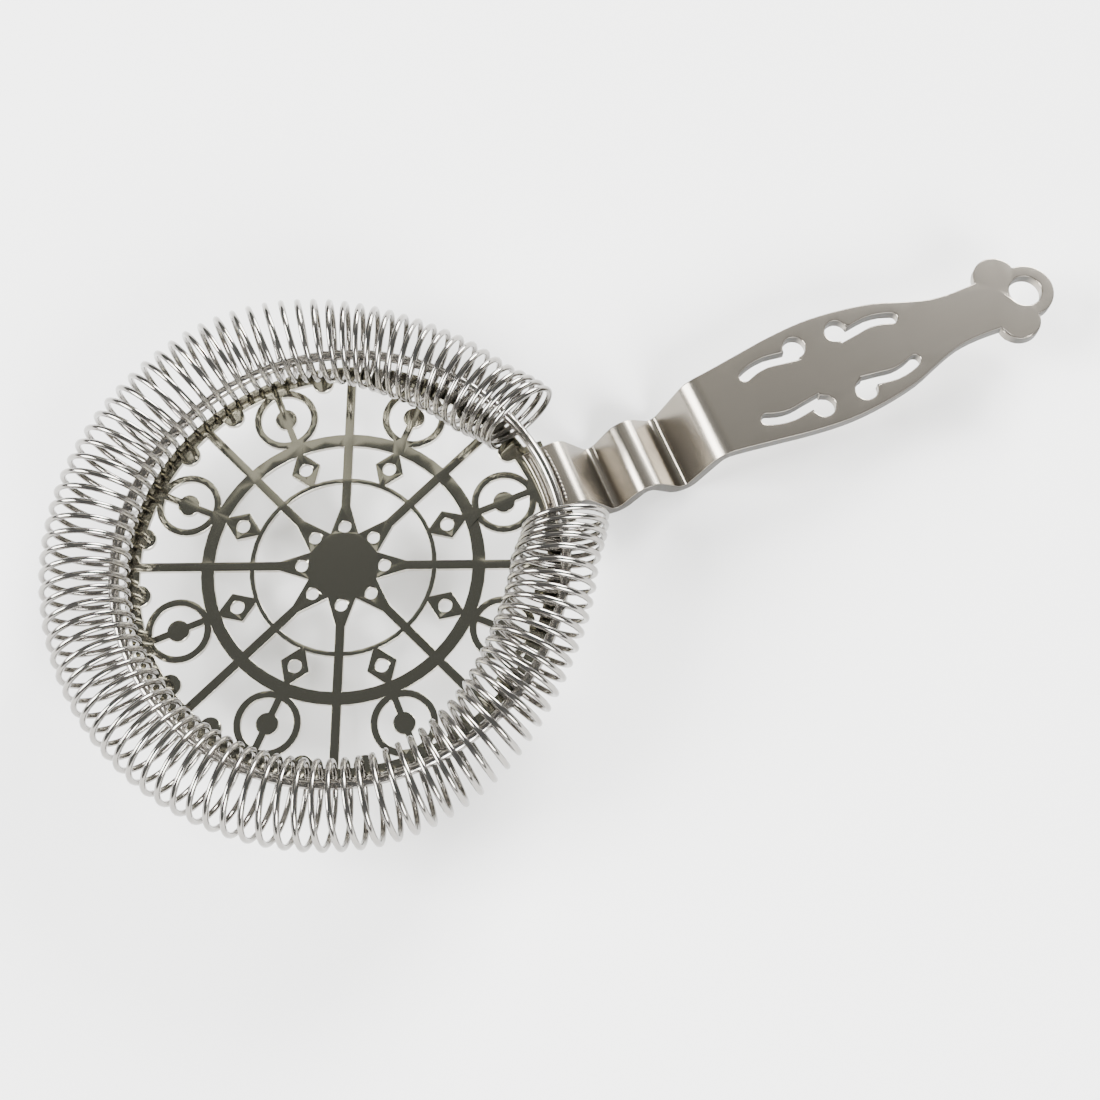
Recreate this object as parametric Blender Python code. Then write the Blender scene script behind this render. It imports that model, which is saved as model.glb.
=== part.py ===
"""Hawthorne strainer: a laser-cut strainer plate, a hoop that carries a coil spring, and a bent strip handle.

The plate lies flat with its lower face at z = 0 and its middle at the origin. The spring side faces up, and
the handle runs along +X. Sizes are in millimetres; MM turns them into metres where an object is made.
"""

import math

import bmesh
import bpy
from mathutils import Matrix, Vector, geometry

MM = 0.001
GAP = 0.3
SAME_POINT = 0.001
FLAT_ANGLE = math.radians(0.5)

PLATE_THICK = 1.0
RIM_OUTER = 39.3
RIM_WIDTH = 2.8
TAB_REACH = RIM_OUTER + 2.4
TAB_HALF = 8.5
SUN_OUTER = 25.5
SUN_WIDTH = 2.4
INNER_RING_OUTER = 16.8
INNER_RING_WIDTH = 0.9
SPOKES = 8
SPOKE_WIDTH = 1.7
STAR_REACH = 14.0
STAR_VALLEY = 6.6
STAR_HOLE_PLACE = 7.4
STAR_HOLE_RADIUS = 1.1
DIAMOND_HALF = 2.8
DIAMOND_HOLE_RADIUS = 1.2
LOOP_WIDTH = 1.3
LOOP_BOSS_RADIUS = 2.0
SCALLOP_RADIUS = 2.0
SCALLOP_ANGLE = 14.0
OVERLAP = 0.4

HANDLE_THICK = 2.2
HANDLE_ROOT = RIM_OUTER - 1.7
HANDLE_LENGTH = 103.9
NECK_LENGTH = 35.4
NECK_HALF = 6.2
WAIST_END = 5.2
BLADE_LEVEL = 3.0
BEND_RADIUS = 2.4
BLADE_BEND_RADIUS = 4.0
BEND_REACH = 12.0
LOBE_RADIUS = 4.0
END_LOBE_RADIUS = 5.3
HANG_HOLE_RADIUS = 3.0
SLOT_WIDTH = 2.1
SLOT_HEAD = (4.3, 6.4)
SLOT_HEAD_RADIUS = 2.1

HOOP_RADIUS = RIM_OUTER + 0.6
HOOP_WIRE = 0.95
WELD_RADIUS = 0.35
WELD_HALF_ANGLE = 7.5

WIRE_RADIUS = 0.56
COIL_RADIUS = 7.3
COIL_TURNS = 97
COIL_SIDES = 7
COIL_PHASE = 225.0
CLOSED_TURNS = 4
CLOSED_PITCH = 2.2
COIL_END_ANGLE = 14.5
COIL_NEAR_LEAN = 113.2
COIL_NEAR_PLAY = 1.0
COIL_FAR_LEAN = 40.0
COIL_FAR_PLAY = 0.55
COIL_BLEND = (42.0, 105.0)
COIL_FLARE = 2.2
COIL_FLARE_END = 28.0

RIM_INNER = RIM_OUTER - RIM_WIDTH
SUN_INNER = SUN_OUTER - SUN_WIDTH
INNER_RING_INNER = INNER_RING_OUTER - INNER_RING_WIDTH
ROOT_TOP = PLATE_THICK + GAP + HANDLE_THICK
HOOP_LEVEL = ROOT_TOP + GAP + HOOP_WIRE
WELD_LEVEL = ROOT_TOP + GAP + WELD_RADIUS
WELD_REACH = math.sqrt((HOOP_WIRE + GAP + WELD_RADIUS) ** 2 - (HOOP_LEVEL - WELD_LEVEL) ** 2)
HANDLE_TIP = HANDLE_ROOT + HANDLE_LENGTH
BLADE_START = HANDLE_ROOT + NECK_LENGTH
BLADE_LENGTH = HANDLE_TIP - BLADE_START
SLOT_MIDDLE = BLADE_START + 0.334 * BLADE_LENGTH
SLOT_STRETCH = BLADE_LENGTH / 68.5
DIAMOND_MIDDLE = (INNER_RING_OUTER + SUN_INNER) / 2
LOOP_MIDDLE = (SUN_OUTER + RIM_INNER) / 2
LOOP_OUTER = (RIM_INNER - SUN_OUTER) / 2 + OVERLAP
END_LOBE_X = HANDLE_TIP - END_LOBE_RADIUS
LOBE_X = END_LOBE_X - 3.9
LOBE_Y = 4.9

# The corners of the handle's middle line from the side: root, dip, hump, dip and blade.
ROOT_MIDDLE = ROOT_TOP - HANDLE_THICK / 2
BLADE_MIDDLE = BLADE_LEVEL - HANDLE_THICK / 2
NECK_CORNERS = (
    (HANDLE_ROOT - 1.0, ROOT_MIDDLE, 0.0),
    (HANDLE_ROOT + 6.3, ROOT_MIDDLE, BEND_RADIUS),
    (HANDLE_ROOT + 12.5, -9.5, BEND_RADIUS),
    (HANDLE_ROOT + 19.2, -1.0, BEND_RADIUS),
    (HANDLE_ROOT + 26.2, -9.2, BEND_RADIUS),
    (BLADE_START - 2.2, BLADE_MIDDLE, BLADE_BEND_RADIUS),
    (HANDLE_TIP + 1.0, BLADE_MIDDLE, 0.0),
)
# Half the handle's width along its neck, then at shares of the blade's length: belly and waist.
NECK_STATIONS = ((0.0, NECK_HALF), (12.4, 6.6), (26.4, 7.5))
BLADE_STATIONS = (
    (0.0, 8.2), (0.117, 9.3), (0.219, 10.25), (0.321, 10.7), (0.423, 10.2), (0.526, 8.9), (0.599, 7.1),
    (0.672, 5.5), (0.745, 5.0),
)
# The middle line of a blade slot's tail, from its head out to its tip.
SLOT_TAIL = ((4.2, 4.9), (7.5, 5.35), (10.4, 5.75), (13.1, 5.4), (15.0, 4.7))


def clear_scene():
    for old in list(bpy.data.objects):
        bpy.data.objects.remove(old, do_unlink=True)


def new_collection(name):
    made = bpy.data.collections.new(name)
    bpy.context.scene.collection.children.link(made)
    return made


def metal(name, colour, roughness):
    made = bpy.data.materials.new(name)
    made.use_nodes = True
    shader = made.node_tree.nodes["Principled BSDF"]
    shader.inputs["Base Color"].default_value = (*colour, 1.0)
    shader.inputs["Metallic"].default_value = 1.0
    shader.inputs["Roughness"].default_value = roughness
    return made


def arc(centre, radius, start, stop, count):
    """Points along an arc, in degrees, both ends included."""
    angles = (math.radians(start + (stop - start) * i / count) for i in range(count + 1))
    return [(centre[0] + radius * math.cos(a), centre[1] + radius * math.sin(a)) for a in angles]


def circle(centre, radius, count=24):
    return arc(centre, radius, 0.0, 360.0, count)[:-1]


def rounded_path(corners, steps):
    """A path through corners given as (x, y, radius), each turned into an arc of its radius."""
    points = []
    for i, (x, y, radius) in enumerate(corners):
        here = Vector((x, y))
        if radius == 0.0:
            points.append((x, y))
            continue
        back = (Vector(corners[i - 1][:2]) - here).normalized()
        ahead = (Vector(corners[i + 1][:2]) - here).normalized()
        half = back.angle(ahead) / 2
        middle = here + (back + ahead).normalized() * radius / math.sin(half)
        start = here + back * radius / math.tan(half) - middle
        sweep = math.copysign(math.pi - 2 * half, back.cross(ahead) * -1.0)
        for step in range(steps + 1):
            spot = middle + Matrix.Rotation(sweep * step / steps, 2) @ start
            points.append(tuple(spot))
    return points


def smooth_path(stations, step):
    """A smooth curve through the stations, cut into pieces about one step long."""
    ends = [stations[0], *stations, stations[-1]]
    points = []
    for before, first, second, after in zip(ends, ends[1:], ends[2:], ends[3:]):
        count = max(1, round(math.dist(first, second) / step))
        slope_in = (Vector(second) - Vector(before)) / 2
        slope_out = (Vector(after) - Vector(first)) / 2
        for i in range(count):
            t = i / count
            spot = (2 * t**3 - 3 * t**2 + 1) * Vector(first) + (t**3 - 2 * t**2 + t) * slope_in
            spot += (3 * t**2 - 2 * t**3) * Vector(second) + (t**3 - t**2) * slope_out
            points.append(tuple(spot))
    return [*points, stations[-1]]


def side_lines(path, reach):
    """The two lines one reach to the left and to the right of a path."""
    left, right = [], []
    for i, here in enumerate(path):
        before = Vector(path[max(i - 1, 0)])
        after = Vector(path[min(i + 1, len(path) - 1)])
        along = (after - before).normalized()
        across = Vector((-along.y, along.x)) * reach
        left.append(tuple(Vector(here) + across))
        right.append(tuple(Vector(here) - across))
    return left, right


def stroke(path, width):
    """The outline of a band of one width along a path, square at its ends."""
    left, right = side_lines(path, width / 2)
    return left + right[::-1]


def round_stroke(path, width, count=8):
    """A band along a path with a round tip at its far end."""
    left, right = side_lines(path, width / 2)
    start = Vector(left[-1]) - Vector(path[-1])
    turns = (Matrix.Rotation(-math.pi * i / count, 2) for i in range(1, count))
    tip = [tuple(Vector(path[-1]) + turn @ start) for turn in turns]
    return left + tip + right[::-1]


def bar(start, stop, width):
    return stroke([start, stop], width)


def turned(outline, degrees):
    """An outline drawn about the +Y direction, turned to point along the given angle from +X."""
    turn = Matrix.Rotation(math.radians(degrees - 90.0), 2)
    return [tuple(turn @ Vector(point)) for point in outline]


def band(inner, outer, start, stop, count, centre=(0.0, 0.0)):
    """The outline of a part of a ring."""
    return arc(centre, outer, start, stop, count) + arc(centre, inner, stop, start, count)


def ring(inner, outer, count, centre=(0.0, 0.0)):
    """A whole ring, as two halves that share their ends."""
    return [band(inner, outer, start, start + 180.0, count // 2, centre) for start in (0.0, 180.0)]


def area(outline):
    pairs = zip(outline, outline[1:] + outline[:1])
    return sum(a[0] * b[1] - a[1] * b[0] for a, b in pairs) / 2


def cut_sheet(shapes, openings, creases=()):
    """A sheet's flat cut, as points and triangles: the shapes less the openings, creases kept as edges."""
    points, edges, faces = [], [], []
    for outline in [*shapes, *openings]:
        faces.append(list(range(len(points), len(points) + len(outline))))
        turning = outline if area(outline) > 0 else outline[::-1]
        points.extend(Vector((round(x, 5), round(y, 5))) for x, y in turning)
    for line in creases:
        edges.append((len(points), len(points) + 1))
        points.extend(Vector(point) for point in line)
    spots, _, triangles, _, _, owners = geometry.delaunay_2d_cdt(points, edges, faces, 1, SAME_POINT)
    kept = [face for face, inside in zip(triangles, owners) if inside and max(inside) < len(shapes)]
    return spots, kept


def thick_sheet(name, sheet, place, collection):
    """A closed solid from a flat cut: place gives each point's spots on the lower and the upper face."""
    spots, triangles = sheet
    shell = bmesh.new()
    corners = {}
    for index in sorted({index for face in triangles for index in face}):
        corners[index] = [shell.verts.new(Vector(spot) * MM) for spot in place(*spots[index])]
    edges = {(a, b) for face in triangles for a, b in zip(face, face[1:] + face[:1])}
    for face in triangles:
        shell.faces.new([corners[index][1] for index in face])
        shell.faces.new([corners[index][0] for index in reversed(face)])
    for a, b in sorted(edges):
        if (b, a) not in edges:
            shell.faces.new((corners[a][0], corners[b][0], corners[b][1], corners[a][1]))
    bmesh.ops.dissolve_limit(shell, angle_limit=FLAT_ANGLE, verts=shell.verts, edges=shell.edges)
    bmesh.ops.triangulate(shell, faces=shell.faces)
    mesh = bpy.data.meshes.new(name)
    shell.to_mesh(mesh)
    shell.free()
    made = bpy.data.objects.new(name, mesh)
    collection.objects.link(made)
    return made


def wire(name, path, radius, sides, collection):
    """A round wire along a path of (x, y, z) points, with filled ends."""
    curve = bpy.data.curves.new(name, "CURVE")
    curve.dimensions = "3D"
    curve.bevel_depth = radius * MM
    curve.bevel_resolution = (sides - 4) // 2
    curve.use_fill_caps = True
    run = curve.splines.new("POLY")
    run.points.add(len(path) - 1)
    for point, spot in zip(run.points, path):
        point.co = (*(Vector(spot) * MM), 1.0)
    drawn = bpy.data.objects.new(name, curve)
    collection.objects.link(drawn)
    return as_mesh(drawn, collection)


def as_mesh(drawn, collection):
    """A curve object's shape as a closed mesh object, in the curve's place."""
    bpy.context.view_layer.update()
    name = drawn.name
    graph = bpy.context.evaluated_depsgraph_get()
    mesh = bpy.data.meshes.new_from_object(drawn.evaluated_get(graph))
    shell = bmesh.new()
    shell.from_mesh(mesh)
    bmesh.ops.remove_doubles(shell, verts=shell.verts, dist=1e-6)
    bmesh.ops.recalc_face_normals(shell, faces=shell.faces)
    shell.to_mesh(mesh)
    shell.free()
    made = bpy.data.objects.new(name + "_mesh", mesh)
    made.matrix_world = drawn.matrix_world.copy()
    collection.objects.link(made)
    curve = drawn.data
    bpy.data.objects.remove(drawn, do_unlink=True)
    bpy.data.curves.remove(curve)
    made.name = name
    return made


def finish(thing, material):
    thing.data.materials.clear()
    thing.data.materials.append(material)
    thing.data.shade_smooth()
    thing.data.set_sharp_from_angle(angle=math.radians(32.0))
    return thing


def spoke_angles():
    """Evenly spaced, with the handle half way between two spokes."""
    return [360.0 * (i + 0.5) / SPOKES for i in range(SPOKES)]


def sector_angles():
    """The middles of the sectors between spokes."""
    return [360.0 * i / SPOKES for i in range(SPOKES)]


def star_outline():
    """A plain star with one point on each spoke."""
    points = []
    for i in range(2 * SPOKES):
        reach = STAR_REACH if i % 2 else STAR_VALLEY
        points += turned([(0.0, reach)], 180.0 * i / SPOKES)
    return points


def diamond_outline():
    """A diamond whose tips run into the inner ring and the sun ring."""
    low, high = INNER_RING_INNER, SUN_INNER + 1.0
    return [(0.0, low), (DIAMOND_HALF, DIAMOND_MIDDLE), (0.0, high), (-DIAMOND_HALF, DIAMOND_MIDDLE)]


def loop_outlines():
    """A round loop from the sun ring to the rim, with a bar across it and a round boss in its middle."""
    yield from ring(LOOP_OUTER - LOOP_WIDTH, LOOP_OUTER, 32, (0.0, LOOP_MIDDLE))
    yield bar((0.0, SUN_OUTER - OVERLAP), (0.0, RIM_INNER + OVERLAP), LOOP_WIDTH)
    yield circle((0.0, LOOP_MIDDLE), LOOP_BOSS_RADIUS, 20)


def plate_shapes():
    """Every outline of the plate's cut-work."""
    yield from ring(RIM_INNER, RIM_OUTER, 80)
    yield from ring(SUN_INNER, SUN_OUTER, 60)
    yield from ring(INNER_RING_INNER, INNER_RING_OUTER, 48)
    yield star_outline()
    corner = math.degrees(math.asin(TAB_HALF / RIM_INNER))
    tab_root = arc((0.0, 0.0), RIM_INNER + 0.2, -corner, corner, 10)
    yield [*tab_root, (TAB_REACH, TAB_HALF), (TAB_REACH, -TAB_HALF)]
    for angle in spoke_angles():
        yield turned(bar((0.0, STAR_VALLEY), (0.0, RIM_INNER + OVERLAP), SPOKE_WIDTH), angle)
    for angle in sector_angles():
        yield turned(diamond_outline(), angle)
        yield from (turned(outline, angle) for outline in loop_outlines())
        for side in (-SCALLOP_ANGLE, SCALLOP_ANGLE):
            yield turned(circle((0.0, RIM_INNER), SCALLOP_RADIUS, 20), angle + side)


def plate_openings():
    """A round hole in each point of the star and in each diamond."""
    for angle in spoke_angles():
        yield turned(circle((0.0, STAR_HOLE_PLACE), STAR_HOLE_RADIUS, 16), angle)
    for angle in sector_angles():
        yield turned(circle((0.0, DIAMOND_MIDDLE), DIAMOND_HOLE_RADIUS, 16), angle)


def make_plate(parts, material):
    """The strainer plate: a rim, two rings and spokes, with a star, diamonds, loops and scallops."""
    sheet = cut_sheet(list(plate_shapes()), list(plate_openings()))
    plate = thick_sheet("strainer_plate", sheet, lambda x, y: ((x, y, 0.0), (x, y, PLATE_THICK)), parts)
    return finish(plate, material)


def plan_shapes():
    """The handle from above: the strip up to its waist, and the three lobes at its end."""
    stations = [(HANDLE_ROOT + along, half) for along, half in NECK_STATIONS]
    stations += [(BLADE_START + share * BLADE_LENGTH, half) for share, half in BLADE_STATIONS]
    stations += [(LOBE_X - 2.3, WAIST_END), (LOBE_X, WAIST_END)]
    edge = smooth_path(stations, 2.0)
    turn = math.degrees(math.asin(NECK_HALF / HANDLE_ROOT))
    root = arc((0.0, 0.0), HANDLE_ROOT, turn, -turn, 6)
    yield root + [(x, -y) for x, y in edge[1:]] + edge[:0:-1]
    yield circle((LOBE_X, LOBE_Y), LOBE_RADIUS, 32)
    yield circle((LOBE_X, -LOBE_Y), LOBE_RADIUS, 32)
    yield circle((END_LOBE_X, 0.0), END_LOBE_RADIUS, 40)


def plan_openings():
    """The hanging hole and four curled slots: each a round head, and a tail that leaves its inner side."""
    yield circle((END_LOBE_X, 0.0), HANG_HOLE_RADIUS, 32)
    for flip_x in (-1.0, 1.0):
        for flip_y in (-1.0, 1.0):
            tail = [(SLOT_MIDDLE + flip_x * x * SLOT_STRETCH, flip_y * y) for x, y in SLOT_TAIL]
            tail = smooth_path(tail, 1.2)
            yield round_stroke(tail, SLOT_WIDTH)
            head = (SLOT_MIDDLE + flip_x * SLOT_HEAD[0] * SLOT_STRETCH, flip_y * SLOT_HEAD[1])
            yield circle(head, SLOT_HEAD_RADIUS, 20)


def make_handle(parts, material):
    """The handle: its flat cut, creased across the neck and bent to the side view's line."""
    line = rounded_path(NECK_CORNERS, 8)
    upper, lower = side_lines(line, HANDLE_THICK / 2)
    creases = [[(x, -BEND_REACH), (x, BEND_REACH)] for x, _ in line[1:-1]]

    def place(x, y):
        """The spots on the lower and the upper face over a point of the flat cut."""
        count = next(i for i in range(1, len(line)) if line[i][0] >= x)
        share = (x - line[count - 1][0]) / (line[count][0] - line[count - 1][0])
        for face in (lower, upper):
            spot = Vector(face[count - 1]).lerp(Vector(face[count]), share)
            yield spot.x, y, spot.y

    sheet = cut_sheet(list(plan_shapes()), list(plan_openings()), creases)
    return finish(thick_sheet("handle", sheet, place, parts), material)


def make_hoop(parts, material):
    bpy.ops.mesh.primitive_torus_add(
        major_radius=HOOP_RADIUS * MM, minor_radius=HOOP_WIRE * MM, major_segments=72, minor_segments=8,
        location=(0.0, 0.0, HOOP_LEVEL * MM))
    hoop = bpy.context.active_object
    hoop.name = "hoop"
    for other in list(hoop.users_collection):
        other.objects.unlink(hoop)
    parts.objects.link(hoop)
    return finish(hoop, material)


def make_weld(name, radius, parts, material):
    """A weld bead along the handle's root, in the corner beside the hoop."""
    line = arc((0.0, 0.0), radius, -WELD_HALF_ANGLE, WELD_HALF_ANGLE, 8)
    return finish(wire(name, [(x, y, WELD_LEVEL) for x, y in line], WELD_RADIUS, 8, parts), material)


def smooth_share(value, low, high):
    share = min(max((value - low) / (high - low), 0.0), 1.0)
    return share * share * (3.0 - 2.0 * share)


def coil_ride(lean, play):
    """The radius and height of the coil's middle, when the coil hangs on the hoop with some play."""
    lift = COIL_RADIUS - WIRE_RADIUS - HOOP_WIRE - play
    return HOOP_RADIUS + lift * math.cos(math.radians(lean)), HOOP_LEVEL + lift * math.sin(math.radians(lean))


def coil_centre(degrees):
    """The coil's middle, as radius and height: drawn in toward the handle, and flared at its two ends."""
    away = min(degrees, 360.0 - degrees)
    share = smooth_share(away, *COIL_BLEND)
    ends = zip(coil_ride(COIL_NEAR_LEAN, COIL_NEAR_PLAY), coil_ride(COIL_FAR_LEAN, COIL_FAR_PLAY))
    radius, level = (near + share * (far - near) for near, far in ends)
    return radius + COIL_FLARE * (1.0 - smooth_share(away, COIL_END_ANGLE, COIL_FLARE_END)), level


def coil_angle(turn):
    """The angle round the plate after some turns: close turns at both ends, even ones between."""
    span = 360.0 - 2.0 * COIL_END_ANGLE
    pitch = (span - 2.0 * CLOSED_TURNS * CLOSED_PITCH) / (COIL_TURNS - 2.0 * CLOSED_TURNS)
    closed = min(turn, CLOSED_TURNS) + max(turn - (COIL_TURNS - CLOSED_TURNS), 0.0)
    return COIL_END_ANGLE + closed * CLOSED_PITCH + (turn - closed) * pitch


def coil_path():
    """The spring wire's middle line: turns round the coil's middle while that goes round the plate."""
    path = []
    for i in range(COIL_TURNS * COIL_SIDES + 1):
        degrees = coil_angle(i / COIL_SIDES)
        radius, height = coil_centre(degrees)
        wind = math.radians(COIL_PHASE) - math.tau * i / COIL_SIDES
        out = radius + COIL_RADIUS * math.cos(wind)
        around = math.radians(degrees)
        path.append((out * math.cos(around), out * math.sin(around), height + COIL_RADIUS * math.sin(wind)))
    return path


def main():
    clear_scene()
    parts = new_collection("hawthorne_strainer")
    satin = metal("satin_steel", (0.42, 0.40, 0.37), 0.28)
    sheet = metal("mirror_steel", (0.34, 0.34, 0.31), 0.18)
    polished = metal("polished_wire", (0.72, 0.71, 0.69), 0.12)
    weld = metal("weld_steel", (0.50, 0.48, 0.46), 0.45)
    make_plate(parts, sheet)
    make_handle(parts, satin)
    make_hoop(parts, polished)
    make_weld("hoop_weld_outer", HOOP_RADIUS + WELD_REACH, parts, weld)
    make_weld("hoop_weld_inner", HOOP_RADIUS - WELD_REACH, parts, weld)
    finish(wire("coil_spring", coil_path(), WIRE_RADIUS, 6, parts), polished)


main()
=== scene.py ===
"""Looks for a hawthorne strainer: bright wire, a cut-work plate, a bent satin handle and a pale studio."""

import math

import bmesh
import bpy
import numpy as np
from mathutils import Matrix, Vector


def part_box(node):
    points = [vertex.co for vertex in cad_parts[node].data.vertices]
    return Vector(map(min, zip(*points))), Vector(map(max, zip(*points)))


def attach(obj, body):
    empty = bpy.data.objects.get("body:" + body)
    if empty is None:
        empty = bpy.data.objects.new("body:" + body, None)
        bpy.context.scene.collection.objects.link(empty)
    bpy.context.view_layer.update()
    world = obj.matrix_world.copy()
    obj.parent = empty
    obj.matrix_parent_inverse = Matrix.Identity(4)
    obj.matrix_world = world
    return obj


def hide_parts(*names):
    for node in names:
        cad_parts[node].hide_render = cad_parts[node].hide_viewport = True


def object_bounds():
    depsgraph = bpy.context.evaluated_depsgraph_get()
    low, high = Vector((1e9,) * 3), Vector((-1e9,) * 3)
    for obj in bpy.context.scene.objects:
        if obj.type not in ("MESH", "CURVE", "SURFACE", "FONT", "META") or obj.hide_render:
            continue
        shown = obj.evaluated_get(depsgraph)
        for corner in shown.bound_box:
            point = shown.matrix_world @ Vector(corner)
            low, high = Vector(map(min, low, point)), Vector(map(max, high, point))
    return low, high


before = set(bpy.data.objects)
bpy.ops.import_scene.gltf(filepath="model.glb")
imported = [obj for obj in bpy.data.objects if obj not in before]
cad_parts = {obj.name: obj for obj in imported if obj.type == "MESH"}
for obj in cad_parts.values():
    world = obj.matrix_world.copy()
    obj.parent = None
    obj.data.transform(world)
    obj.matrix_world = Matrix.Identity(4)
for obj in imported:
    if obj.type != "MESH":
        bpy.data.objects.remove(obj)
CAD_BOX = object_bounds()

bl_info = {
    "name": "Hawthorne strainer looks",
    "version": (1, 0, 0),
    "blender": (4, 5, 0),
    "location": "View3D > Sidebar > Strainer",
    "description": "Builds the wires, sheet and strip of a hawthorne strainer round its CAD frame",
    "category": "Object",
}

MM = 0.001

HOOP_LOW, HOOP_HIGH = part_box("hoop")
HOOP_WIRE = (HOOP_HIGH.z - HOOP_LOW.z) / 2
HOOP_RADIUS = (HOOP_HIGH.x - HOOP_LOW.x) / 2 - HOOP_WIRE
HOOP_LEVEL = (HOOP_HIGH.z + HOOP_LOW.z) / 2
WELD_LOW, WELD_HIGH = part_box("hoop_weld_outer")
WELD_WIRE = (WELD_HIGH.z - WELD_LOW.z) / 2
WELD_LEVEL = (WELD_HIGH.z + WELD_LOW.z) / 2
WELD_OUTER = WELD_HIGH.x - WELD_WIRE
WELD_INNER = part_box("hoop_weld_inner")[1].x - WELD_WIRE
WELD_SPREAD = math.asin(WELD_HIGH.y / WELD_OUTER) * 0.97

# The spring's middle, as distance from the plate's middle and height: at the handle, and far off.
COIL_NEAR = (38.0 * MM, 9.15 * MM)
COIL_FAR = (43.9 * MM, 8.12 * MM)
COIL_BLEND = (math.radians(42.0), math.radians(105.0))
COIL_FLARE = 2.2 * MM
COIL_FLARE_END = math.radians(28.0)
COIL_PHASE = math.radians(225.0)


def length(label, text, default):
    return bpy.props.FloatProperty(
        name=label, description=text, default=default, min=0.0, unit="LENGTH", precision=5)


def colour(label, text, code):
    return bpy.props.FloatVectorProperty(
        name=label, description=text, default=linear(code), size=3, min=0.0, max=1.0, subtype="COLOR")


def linear(code):
    """A linear colour from an sRGB hex code."""
    shares = [int(code[i:i + 2], 16) / 255 for i in (1, 3, 5)]
    return [s / 12.92 if s <= 0.04045 else ((s + 0.055) / 1.055) ** 2.4 for s in shares]


class StrainerSizes(bpy.types.PropertyGroup):
    coil_radius: length("Coil radius", "From the coil's middle to the wire's middle", 7.18 * MM)
    coil_wire: length("Coil wire radius", "Half the spring wire's thickness", 0.53 * MM)
    coil_end: bpy.props.FloatProperty(
        name="Coil end", description="How far from the handle each end of the spring stands",
        default=math.radians(14.5), subtype="ANGLE")
    coil_turns: bpy.props.IntProperty(name="Turns", description="Turns of the spring", default=97, min=20)
    closed_turns: bpy.props.IntProperty(name="Closed turns", description="Close turns at each end", default=4)
    closed_pitch: bpy.props.FloatProperty(
        name="Closed pitch", description="The angle round the plate that one close turn takes",
        default=math.radians(2.2), subtype="ANGLE")
    strip_edge: length("Strip edge", "How far the handle's edges are rounded", 0.25 * MM)
    sheet_edge: length("Sheet edge", "How far the plate's edges are eased", 0.1 * MM)


class StrainerColours(bpy.types.PropertyGroup):
    wire: colour("Wire", "Bright drawn stainless wire", "#8E8B86")
    sheet: colour("Sheet", "Mirror polished stainless sheet", "#8F8D80")
    # Painted highlight: this pale colour goes on every edge of the plate to stand for the bright lines the
    # edges catch. The edges' matte roughness is their own.
    cut: colour("Cut edge", "Fresh laser-cut edge of the sheet", "#C9C5BC")
    strip: colour("Strip", "Satin stainless strip", "#958F85")
    # Painted dark reflection: the strip's sides get this dark colour to stand for the dark surroundings they
    # mirror.
    side: colour("Strip side", "Sheared side of the strip", "#3E3C38")
    weld: colour("Weld", "Bare weld metal", "#8C8883")
    floor: colour("Floor", "Matte pale floor", "#FAFAF9")


def sizes():
    return bpy.context.scene.strainer_sizes


def colours():
    return bpy.context.scene.strainer_colours


def add(material, kind, settings=(), links=()):
    """Adds a node to a material, with its settings and what feeds its inputs."""
    tree = material.node_tree
    node = tree.nodes.new(kind)
    for name, value in dict(settings).items():
        if name in node.inputs:
            node.inputs[name].default_value = value
        else:
            setattr(node, name, value)
    for name, source in dict(links).items():
        tree.links.new(source, node.inputs[name])
    return node


def metal(name, tint, roughness):
    """A metal with no pattern yet, and its shader."""
    made = bpy.data.materials.new(name)
    made.use_nodes = True
    shader = made.node_tree.nodes["Principled BSDF"]
    shader.inputs["Base Color"].default_value = (*tint, 1.0)
    shader.inputs["Metallic"].default_value = 1.0
    shader.inputs["Roughness"].default_value = roughness
    return made, shader


def feed(material, shader, socket, source):
    material.node_tree.links.new(source, shader.inputs[socket])


def span(material, source, low, high, start=0.0, stop=1.0):
    """A value that goes from low to high while the source goes from start to stop."""
    settings = {"From Min": start, "From Max": stop, "To Min": low, "To Max": high}
    return add(material, "ShaderNodeMapRange", settings, {"Value": source}).outputs["Result"]


def between(material, share, first, second):
    """The colour that lies a share of the way from the first to the second."""
    ramp = add(material, "ShaderNodeValToRGB", links={"Fac": share})
    ramp.color_ramp.elements[0].color = (*first, 1.0)
    ramp.color_ramp.elements[1].color = (*second, 1.0)
    return ramp.outputs["Color"]


def grain(material, size, detail=3.0, stretch=(1.0, 1.0, 1.0)):
    """Noise whose grains are about one size across, longer along an axis with a smaller stretch."""
    place = add(material, "ShaderNodeTexCoord").outputs["Object"]
    drawn_out = add(material, "ShaderNodeMapping", {"Scale": stretch}, {"Vector": place}).outputs["Vector"]
    settings = {"Scale": 1.0 / size, "Detail": detail}
    return add(material, "ShaderNodeTexNoise", settings, {"Vector": drawn_out}).outputs["Fac"]


def facing_up(material):
    """How far a surface faces up or down: 0 on an edge, 1 on a face."""
    normal = add(material, "ShaderNodeNewGeometry").outputs["Normal"]
    upright = add(material, "ShaderNodeSeparateXYZ", links={"Vector": normal}).outputs["Z"]
    size = add(material, "ShaderNodeMath", {"operation": "ABSOLUTE"}, {"Value": upright}).outputs["Value"]
    return span(material, size, 0.0, 1.0, 0.45, 0.9)


def sideways(material):
    """How far a surface faces across the handle: 0 on its faces and bends, 1 on the sides of the strip."""
    normal = add(material, "ShaderNodeNewGeometry").outputs["Normal"]
    across = add(material, "ShaderNodeSeparateXYZ", links={"Vector": normal}).outputs["Y"]
    size = add(material, "ShaderNodeMath", {"operation": "ABSOLUTE"}, {"Value": across}).outputs["Value"]
    return span(material, size, 0.0, 1.0, 0.3, 0.8)


def blend(material, share, first, second):
    """The mix of a colour that comes from a node and a plain colour."""
    mixed = add(material, "ShaderNodeMixRGB", {"Color2": (*second, 1.0)}, {"Fac": share, "Color1": first})
    return mixed.outputs["Color"]


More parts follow.
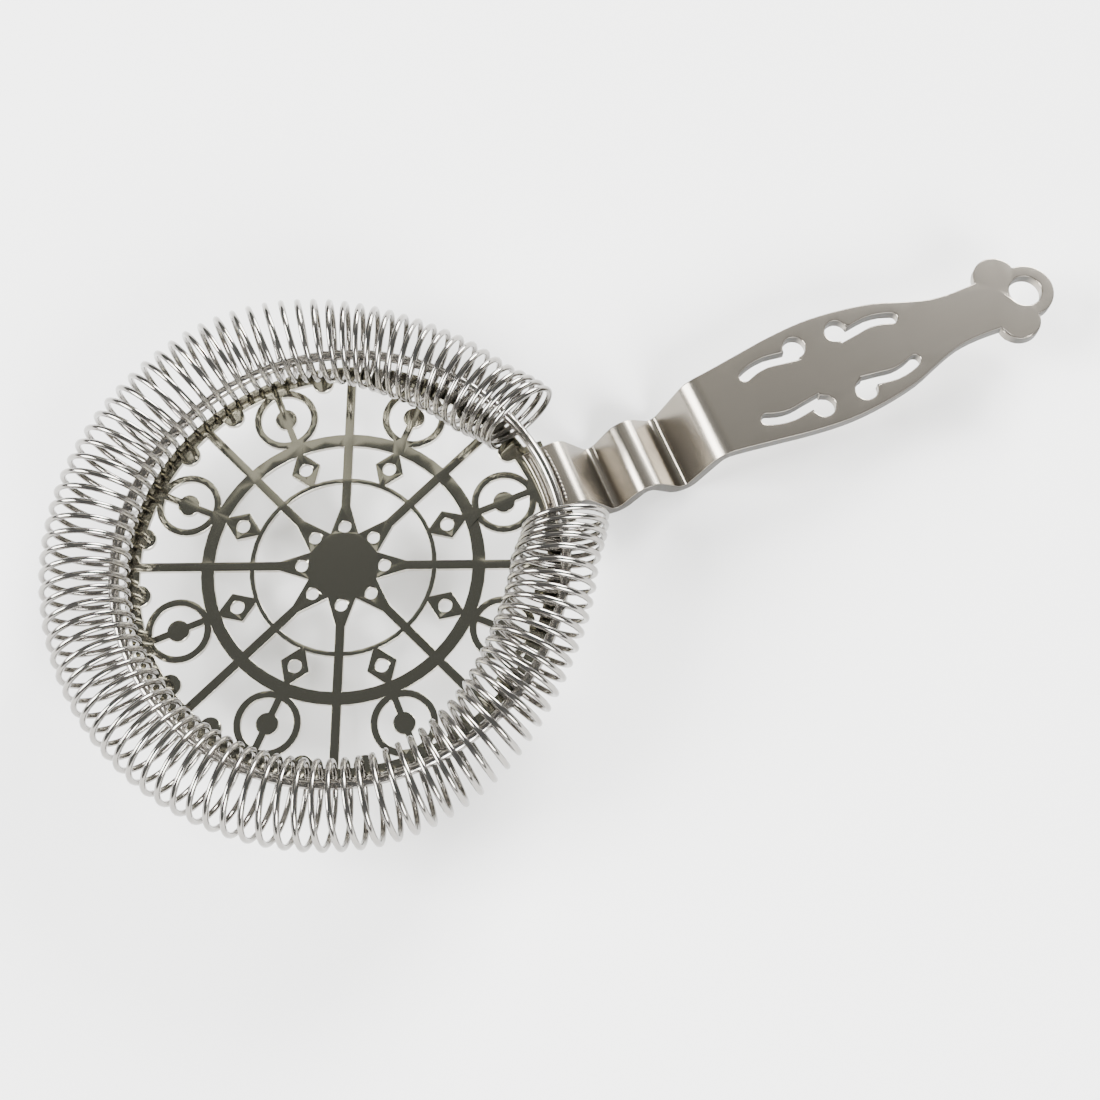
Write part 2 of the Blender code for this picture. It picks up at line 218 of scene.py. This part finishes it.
def bump(material, shader, source, depth):
    made = add(material, "ShaderNodeBump", {"Distance": depth, "Strength": 1.0}, {"Height": source})
    feed(material, shader, "Normal", made.outputs["Normal"])


def drawn_wire_steel():
    """Bright drawn stainless wire: almost a mirror, with faint smears where the die dragged."""
    made, shader = metal("drawn_stainless_wire", colours().wire, 0.12)
    smear = grain(made, 4.0 * MM)
    feed(made, shader, "Roughness", span(made, smear, 0.13, 0.19))
    return made


def mirror_sheet_steel():
    """Mirror polished stainless sheet: dark and clear on its faces, matte on its cut edges, whose pale colour
    is a painted highlight.
    """
    made, shader = metal("mirror_polished_stainless_sheet", colours().sheet, 0.1)
    face = facing_up(made)
    # Edges, found by which way the surface faces, get the pale cut colour as a painted highlight; faces keep
    # the sheet colour.
    feed(made, shader, "Base Color", between(made, face, colours().cut, colours().sheet))
    feed(made, shader, "Roughness", span(made, face, 0.35, 0.12))
    return made


def satin_strip_steel():
    """Satin stainless strip: soft broad reflections, faint lines along it, and a painted dark reflection on
    its sides.
    """
    made, shader = metal("satin_stainless_strip", colours().strip, 0.28)
    # Finishing lines are about 0.05 mm apart; they are drawn at 0.4 mm so that they show a little.
    lines = grain(made, 0.4 * MM, 4.0, (0.04, 1.0, 1.0))
    cloud = grain(made, 9.0 * MM, 2.0)
    # The sides of the strip take the dark side colour and less metal, a painted dark reflection.
    painted_dark_side = sideways(made)
    feed(made, shader, "Metallic", span(made, painted_dark_side, 1.0, 0.25))
    polish = span(made, lines, 0.26, 0.275)
    duller = add(made, "ShaderNodeMath", {"operation": "MULTIPLY_ADD"}, {"Value": painted_dark_side})
    duller.inputs[1].default_value = 0.3
    made.node_tree.links.new(polish, duller.inputs[2])
    feed(made, shader, "Roughness", duller.outputs["Value"])
    darker = [0.97 * share for share in colours().strip]
    face = between(made, cloud, darker, colours().strip)
    feed(made, shader, "Base Color", blend(made, painted_dark_side, face, colours().side))
    return made


def weld_steel():
    """Bare weld metal: grey and rippled, with a straw tint from the heat."""
    made, shader = metal("bare_weld_metal", colours().weld, 0.4)
    burn = grain(made, 0.9 * MM, 2.0)
    feed(made, shader, "Base Color", between(made, burn, linear("#5E5648"), colours().weld))
    bump(made, shader, grain(made, 0.5 * MM, 2.0), 0.08 * MM)
    return made


def matte_floor():
    """Matte painted board: pale, with no pattern that would show."""
    made, shader = metal("matte_pale_board", colours().floor, 0.9)
    shader.inputs["Metallic"].default_value = 0.0
    feed(made, shader, "Roughness", span(made, grain(made, 30.0 * MM), 0.85, 0.95))
    return made


def keep_material(thing, material):
    thing.data.materials.clear()
    thing.data.materials.append(material)


def unit(rows):
    return rows / np.linalg.norm(rows, axis=1, keepdims=True)


def tube(name, line, outward, radii, sides, closed=False):
    """A round tube: at each point of the line, a circle of that point's radius, square to the line.

    The circle starts toward outward, made square to the line's direction. An open tube's ends are filled.
    """
    along = np.roll(line, -1, 0) - np.roll(line, 1, 0) if closed else np.gradient(line, axis=0)
    along = unit(along)
    first = unit(outward - (outward * along).sum(1, keepdims=True) * along)
    second = np.cross(along, first)
    turn = np.linspace(0.0, math.tau, sides, endpoint=False)[None, :, None]
    circles = np.cos(turn) * first[:, None] + np.sin(turn) * second[:, None]
    points = line[:, None] + np.asarray(radii)[:, None, None] * circles
    rows = len(line)
    here = np.arange(rows if closed else rows - 1)[:, None] * sides
    there = (here + sides) % (rows * sides)
    side = np.arange(sides)[None, :]
    turned_side = (side + 1) % sides
    quads = np.stack([here + side, here + turned_side, there + turned_side, there + side], -1)
    faces = quads.reshape(-1, 4).tolist()
    if not closed:
        faces.append(list(range(sides))[::-1])
        faces.append(list(range((rows - 1) * sides, rows * sides)))
    return mesh_object(name, points.reshape(-1, 3), faces)


def mesh_object(name, points, faces):
    """A smooth mesh object whose faces point outwards."""
    mesh = bpy.data.meshes.new(name)
    mesh.from_pydata(points.tolist(), [], faces)
    shell = bmesh.new()
    shell.from_mesh(mesh)
    bmesh.ops.recalc_face_normals(shell, faces=shell.faces)
    shell.to_mesh(mesh)
    shell.free()
    mesh.shade_smooth()
    made = bpy.data.objects.new(name, mesh)
    bpy.context.scene.collection.objects.link(made)
    return made


def rounded_ends(radius, count, taper):
    """The radii of a wire whose first and last few points follow a quarter circle in to a small tip."""
    radii = np.full(count, radius)
    fall = np.sqrt(1.0 - np.linspace(0.97, 0.0, taper) ** 2)
    radii[:taper] *= fall
    radii[-taper:] *= fall[::-1]
    return radii


def stands_for(thing, node, body, material):
    keep_material(thing, material)
    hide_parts(node)
    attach(thing, body)


def eased_copy(node, name, width, segments):
    """A copy of a sheet-metal node, merged into one skin, with every edge rounded by a width."""
    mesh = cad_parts[node].data.copy()
    shell = bmesh.new()
    shell.from_mesh(mesh)
    bmesh.ops.remove_doubles(shell, verts=shell.verts, dist=0.001 * MM)
    shell.to_mesh(mesh)
    shell.free()
    if "custom_normal" in mesh.attributes:
        mesh.attributes.remove(mesh.attributes["custom_normal"])
    mesh.shade_smooth()
    made = bpy.data.objects.new(name, mesh)
    bpy.context.scene.collection.objects.link(made)
    bevel = made.modifiers.new("Eased edges", "BEVEL")
    bevel.width = width
    bevel.segments = segments
    bevel.limit_method = "ANGLE"
    bevel.angle_limit = math.radians(30.0)
    bevel.use_clamp_overlap = False
    even = made.modifiers.new("Flat faces stay flat", "WEIGHTED_NORMAL")
    even.mode = "FACE_AREA"
    even.weight = 100
    return made


def smooth_share(value, low, high):
    """A share from 0 at low to 1 at high, eased at both: three of its squares less two of its cubes."""
    share = np.clip((value - low) / (high - low), 0.0, 1.0)
    return share * share * (3.0 - 2.0 * share)


def coil_line(size, steps):
    """The spring wire's middle line: a circle round the coil's middle, carried round the plate.

    The coil's middle moves out and down, on a smooth curve, from where it stands near the handle to where it
    stands far off. Its angle round the plate grows slowly over the close turns and evenly between them.
    """
    turn = np.linspace(0.0, size.coil_turns, size.coil_turns * steps + 1)
    closed = np.minimum(turn, size.closed_turns)
    closed = closed + np.maximum(turn - (size.coil_turns - size.closed_turns), 0.0)
    open_span = math.tau - 2.0 * size.coil_end - 2.0 * size.closed_turns * size.closed_pitch
    pitch = open_span / (size.coil_turns - 2 * size.closed_turns)
    around = size.coil_end + closed * size.closed_pitch + (turn - closed) * pitch
    away = np.minimum(around, math.tau - around)
    share = smooth_share(away, *COIL_BLEND)
    flare = COIL_FLARE * (1.0 - smooth_share(away, size.coil_end, COIL_FLARE_END))
    reach = COIL_NEAR[0] + share * (COIL_FAR[0] - COIL_NEAR[0]) + flare
    level = COIL_NEAR[1] + share * (COIL_FAR[1] - COIL_NEAR[1])
    wind = COIL_PHASE - math.tau * turn
    out = np.cos(wind)
    outward = np.stack([out * np.cos(around), out * np.sin(around), np.sin(wind)], -1)
    middle = np.stack([reach * np.cos(around), reach * np.sin(around), level], -1)
    return middle + size.coil_radius * outward, outward


class STRAINER_OT_coil(bpy.types.Operator):
    """Winds the spring from fine round wire"""
    bl_idname = "strainer.coil"
    bl_label = "Coil spring"

    def execute(self, context):
        line, outward = coil_line(sizes(), 32)
        radii = rounded_ends(sizes().coil_wire, len(line), 4)
        coil = tube("coil_wire", line, outward, radii, 10)
        stands_for(coil, "coil_spring", "spring", drawn_wire_steel())
        return {"FINISHED"}


class STRAINER_OT_hoop(bpy.types.Operator):
    """Bends the hoop that carries the spring"""
    bl_idname = "strainer.hoop"
    bl_label = "Hoop"

    def execute(self, context):
        around = np.linspace(0.0, math.tau, 240, endpoint=False)
        outward = np.stack([np.cos(around), np.sin(around), 0.0 * around], -1)
        line = outward * HOOP_RADIUS + np.array([0.0, 0.0, HOOP_LEVEL])
        hoop = tube("hoop_wire", line, outward, np.full(len(line), HOOP_WIRE), 20, closed=True)
        stands_for(hoop, "hoop", "root", drawn_wire_steel())
        return {"FINISHED"}


class STRAINER_OT_welds(bpy.types.Operator):
    """Lays the two weld beads beside the hoop, each a tube that swells and shrinks from ripple to ripple"""
    bl_idname = "strainer.welds"
    bl_label = "Weld beads"

    def execute(self, context):
        metal_look = weld_steel()
        for node, reach in (("hoop_weld_outer", WELD_OUTER), ("hoop_weld_inner", WELD_INNER)):
            around = np.linspace(-WELD_SPREAD, WELD_SPREAD, 90)
            outward = np.stack([np.cos(around), np.sin(around), 0.0 * around], -1)
            line = outward * reach + np.array([0.0, 0.0, WELD_LEVEL])
            ripple = 0.88 + 0.12 * np.sin(np.linspace(0.0, 26.0 * math.pi, len(line)))
            radii = rounded_ends(WELD_WIRE, len(line), 5) * ripple
            bead = tube(node + "_bead", line, outward, radii, 12)
            stands_for(bead, node, "root", metal_look)
        return {"FINISHED"}


class STRAINER_OT_plate(bpy.types.Operator):
    """Finishes the cut-work plate with eased edges and a mirror polish"""
    bl_idname = "strainer.plate"
    bl_label = "Strainer plate"

    def execute(self, context):
        plate = eased_copy("strainer_plate", "polished_plate", sizes().sheet_edge, 1)
        stands_for(plate, "strainer_plate", "root", mirror_sheet_steel())
        return {"FINISHED"}


class STRAINER_OT_handle(bpy.types.Operator):
    """Finishes the bent strip with rounded edges and a satin polish"""
    bl_idname = "strainer.handle"
    bl_label = "Handle"

    def execute(self, context):
        handle = eased_copy("handle", "satin_handle", sizes().strip_edge, 3)
        stands_for(handle, "handle", "root", satin_strip_steel())
        return {"FINISHED"}


def soft_light(name, place, aim, width, power, tint="#FFFFFF"):
    lamp = bpy.data.lights.new(name, "AREA")
    lamp.shape = "SQUARE"
    lamp.size = width
    lamp.energy = power
    lamp.color = linear(tint)
    stand = bpy.data.objects.new(name, lamp)
    stand.location = place
    stand.rotation_euler = (Vector(aim) - Vector(place)).to_track_quat("-Z", "Y").to_euler()
    bpy.context.scene.collection.objects.link(stand)
    return stand


class STRAINER_OT_stage(bpy.types.Operator):
    """Sets the pale floor, the soft lights and the camera"""
    bl_idname = "strainer.stage"
    bl_label = "Stage"

    def execute(self, context):
        middle = (CAD_BOX[0] + CAD_BOX[1]) / 2
        self.lay_floor(CAD_BOX[0].z - 0.2 * MM)
        self.hang_lights(middle)
        self.set_camera()
        return {"FINISHED"}

    def lay_floor(self, level):
        """A wide flat board under the strainer."""
        reach = 3.0
        corners = [(x * reach, y * reach, level) for x, y in ((-1, -1), (1, -1), (1, 1), (-1, 1))]
        floor = mesh_object("floor", np.array(corners), [[0, 1, 2, 3]])
        keep_material(floor, matte_floor())

    def hang_lights(self, middle):
        world = bpy.data.worlds.new("studio")
        world.use_nodes = True
        bpy.context.scene.world = world
        air = world.node_tree.nodes["Background"]
        air.inputs["Color"].default_value = (*linear("#F2F4F6"), 1.0)
        air.inputs["Strength"].default_value = 0.3
        soft_light("key_softbox", (1.05, 0.85, 0.6), middle, 0.7, 86.0)
        soft_light("fill_softbox", (-0.8, 0.25, 0.6), middle, 0.55, 36.0)
        soft_light("front_softbox", (0.15, -0.95, 0.6), middle, 0.55, 36.0)
        soft_light("back_panel", (0.1, 0.46, 0.6), middle, 0.34, 0.45, "#FFFBEF")

    def set_camera(self):
        """The camera looks down at the spring side from the handle's right, turned so the handle runs up."""
        lens = bpy.data.cameras.new("camera")
        lens.sensor_width = 36.0
        lens.lens = 47.98
        lens.clip_start = 0.01
        eye = bpy.data.objects.new("camera", lens)
        right = Vector((0.923, -0.3837, -0.0283)).normalized()
        back = Vector((-0.1021, -0.3152, 0.9435)).normalized()
        up = back.cross(right).normalized()
        right = up.cross(back)
        turn = Matrix((right, up, back)).transposed().to_4x4()
        eye.matrix_world = Matrix.Translation(Vector((8.4, -94.2, 247.6)) * MM) @ turn
        bpy.context.scene.collection.objects.link(eye)
        bpy.context.scene.camera = eye


class VIEW3D_PT_strainer(bpy.types.Panel):
    bl_label = "Strainer"
    bl_space_type = "VIEW_3D"
    bl_region_type = "UI"
    bl_category = "Strainer"

    def draw(self, context):
        for step in STEPS:
            self.layout.operator(step.bl_idname)
        for group in (sizes(), colours()):
            for name in group.bl_rna.properties.keys():
                if name not in ("rna_type", "name"):
                    self.layout.prop(group, name)


STEPS = (
    STRAINER_OT_coil, STRAINER_OT_hoop, STRAINER_OT_welds, STRAINER_OT_plate, STRAINER_OT_handle,
    STRAINER_OT_stage,
)
CLASSES = (StrainerSizes, StrainerColours, *STEPS, VIEW3D_PT_strainer)


def register():
    for made in CLASSES:
        bpy.utils.register_class(made)
    bpy.types.Scene.strainer_sizes = bpy.props.PointerProperty(type=StrainerSizes)
    bpy.types.Scene.strainer_colours = bpy.props.PointerProperty(type=StrainerColours)


def unregister():
    del bpy.types.Scene.strainer_colours
    del bpy.types.Scene.strainer_sizes
    for made in reversed(CLASSES):
        bpy.utils.unregister_class(made)


def main():
    register()
    bpy.ops.strainer.coil()
    bpy.ops.strainer.hoop()
    bpy.ops.strainer.welds()
    bpy.ops.strainer.plate()
    bpy.ops.strainer.handle()
    bpy.ops.strainer.stage()


if __name__ == "__main__":
    main()
